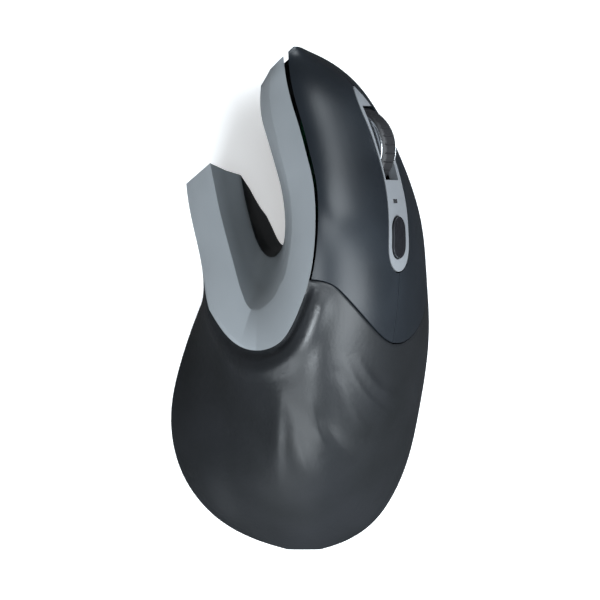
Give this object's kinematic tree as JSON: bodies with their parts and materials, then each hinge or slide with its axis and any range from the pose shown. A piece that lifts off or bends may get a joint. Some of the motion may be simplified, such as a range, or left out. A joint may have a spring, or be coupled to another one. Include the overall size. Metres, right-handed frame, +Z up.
{
  "type": "vertical ergonomic mouse",
  "caption": "Upright wireless mouse for the right hand: palm shell, channelled thumb panel, split finger keys with a silver strip, scroll wheel, thumb buttons, battery bay and stored receiver.",
  "frame": {"origin": "bottom centre of the bounding box, on the plane of the glide feet", "axes": "+Y towards the front, where the wheel is; +X towards the side of the four fingers; +Z up"},
  "size_m": [0.0619, 0.12, 0.066],
  "materials": {
    "palm_black": "satin black moulded plastic with soft fold-like relief",
    "key_black": "satin black moulded plastic",
    "panel_grey": "blue-grey soft-touch plastic",
    "strip_silver": "light grey satin metallic paint",
    "gloss_black": "glossy black",
    "case_black": "fine textured black",
    "tyre_rubber": "black rubber with cross grooves",
    "ring_silver": "turned aluminium",
    "hub_grey": "dark grey plastic",
    "steel": "brushed steel",
    "nylon_white": "natural nylon",
    "board_green": "green circuit board",
    "switch_black": "black thermoplastic",
    "plunger_red": "red plunger",
    "chip_black": "moulded chip",
    "lens_clear": "clear moulded lens",
    "flex_amber": "amber flat cable",
    "cell_wrap": "plain cell wrap",
    "foot_white": "low friction glide pads"
  },
  "bodies": {
    "case": {"bottom_case": "case_black", "palm_shell": "palm_black", "thumb_panel": "panel_grey", "accent_strip": "strip_silver", "light_pipe": "lens_clear", "indicator_led": "nylon_white", "inner_frame": "switch_black", "button_board": "board_green", "left_switch": "switch_black", "right_switch": "switch_black", "middle_switch": "switch_black", "dpi_switch": "switch_black", "back_switch": "switch_black", "forward_switch": "switch_black", "thumb_board": "board_green", "thumb_cable": "flex_amber", "main_board": "board_green", "sensor_chip": "chip_black", "sensor_lens": "lens_clear", "controller_chip": "chip_black", "board_flex": "flex_amber", "battery_contacts": "steel", "battery_spring": "steel", "power_switch": "switch_black", "feet": "foot_white", "case_screws": "steel", "board_screws": "steel", "battery": "cell_wrap"},
    "left_key": {"left_key": "key_black"},
    "right_key": {"right_key": "key_black"},
    "cradle": {"wheel_cradle": "nylon_white", "wheel_encoder": "switch_black"},
    "wheel": {"wheel_hub": "hub_grey", "wheel_rings": "ring_silver", "wheel_tyre": "tyre_rubber", "wheel_axle": "steel"},
    "dpi_button": {"dpi_button": "gloss_black"},
    "back_button": {"back_button": "gloss_black"},
    "forward_button": {"forward_button": "gloss_black"},
    "left_plunger": {"left_plunger": "plunger_red"},
    "right_plunger": {"right_plunger": "plunger_red"},
    "middle_plunger": {"middle_plunger": "plunger_red"},
    "dpi_plunger": {"dpi_plunger": "plunger_red"},
    "back_plunger": {"back_plunger": "plunger_red"},
    "forward_plunger": {"forward_plunger": "plunger_red"},
    "battery_door": {"battery_door": "case_black"},
    "power_knob": {"power_knob": "gloss_black"},
    "receiver": {"receiver_cap": "gloss_black", "receiver_plug": "steel"}
  },
  "joints": [
    {"name": "left_click", "type": "hinge", "parent": "case", "child": "left_key", "pos_m": [0.01176, -0.005, 0.05533], "axis": [-0.5446, 0, 0.8387], "range_deg": [0, 0.9], "stiffness_Nm_per_rad": 1.2},
    {"name": "right_click", "type": "hinge", "parent": "case", "child": "right_key", "pos_m": [0.02538, -0.005, 0.03437], "axis": [-0.5446, 0, 0.8387], "range_deg": [0, 0.9], "stiffness_Nm_per_rad": 1.2},
    {"name": "wheel_click", "type": "hinge", "parent": "case", "child": "cradle", "pos_m": [0.01114, 0.024, 0.04086], "axis": [-0.5446, 0, 0.8387], "range_deg": [0, 1.4], "stiffness_Nm_per_rad": 0.6},
    {"name": "wheel_spin", "type": "hinge", "parent": "cradle", "child": "wheel", "pos_m": [0.01316, 0.0358, 0.04217], "axis": [-0.5446, 0, 0.8387], "continuous": true},
    {"name": "dpi_press", "type": "slide", "parent": "case", "child": "dpi_button", "axis": [-0.8387, 0, -0.5446], "range_m": [0, 0.00055], "stiffness_N_per_m": 900},
    {"name": "back_press", "type": "slide", "parent": "case", "child": "back_button", "axis": [1, 0, 0], "range_m": [0, 0.00055], "stiffness_N_per_m": 900},
    {"name": "forward_press", "type": "slide", "parent": "case", "child": "forward_button", "axis": [1, 0, 0], "range_m": [0, 0.00055], "stiffness_N_per_m": 900},
    {"name": "left_plunge", "type": "slide", "parent": "case", "child": "left_plunger", "axis": [-0.8387, 0, -0.5446], "range_m": [0, 0.0004]},
    {"name": "right_plunge", "type": "slide", "parent": "case", "child": "right_plunger", "axis": [-0.8387, 0, -0.5446], "range_m": [0, 0.0004]},
    {"name": "middle_plunge", "type": "slide", "parent": "case", "child": "middle_plunger", "axis": [-0.8387, 0, -0.5446], "range_m": [0, 0.0004]},
    {"name": "dpi_plunge", "type": "slide", "parent": "case", "child": "dpi_plunger", "axis": [-0.8387, 0, -0.5446], "range_m": [0, 0.0003]},
    {"name": "back_plunge", "type": "slide", "parent": "case", "child": "back_plunger", "axis": [1, 0, 0], "range_m": [0, 0.0003]},
    {"name": "forward_plunge", "type": "slide", "parent": "case", "child": "forward_plunger", "axis": [1, 0, 0], "range_m": [0, 0.0003]},
    {"name": "battery_door_swing", "type": "hinge", "parent": "case", "child": "battery_door", "pos_m": [0.001, 0.00105, 0.0016], "axis": [1, 0, 0], "range_deg": [0, 70]},
    {"name": "power_slide", "type": "slide", "parent": "case", "child": "power_knob", "axis": [0, 1, 0], "range_m": [0, 0.0025]},
    {"name": "receiver_pull", "type": "slide", "parent": "case", "child": "receiver", "axis": [0, 0, -1], "range_m": [0, 0.019]}
  ],
  "couplings": [
    {"joint": "left_plunge", "follows": "left_click", "m_per_rad": 0.021},
    {"joint": "right_plunge", "follows": "right_click", "m_per_rad": 0.021},
    {"joint": "middle_plunge", "follows": "wheel_click", "m_per_rad": 0.0128},
    {"joint": "dpi_plunge", "follows": "dpi_press", "ratio": 0.45},
    {"joint": "back_plunge", "follows": "back_press", "ratio": 0.45},
    {"joint": "forward_plunge", "follows": "forward_press", "ratio": 0.45}
  ]
}
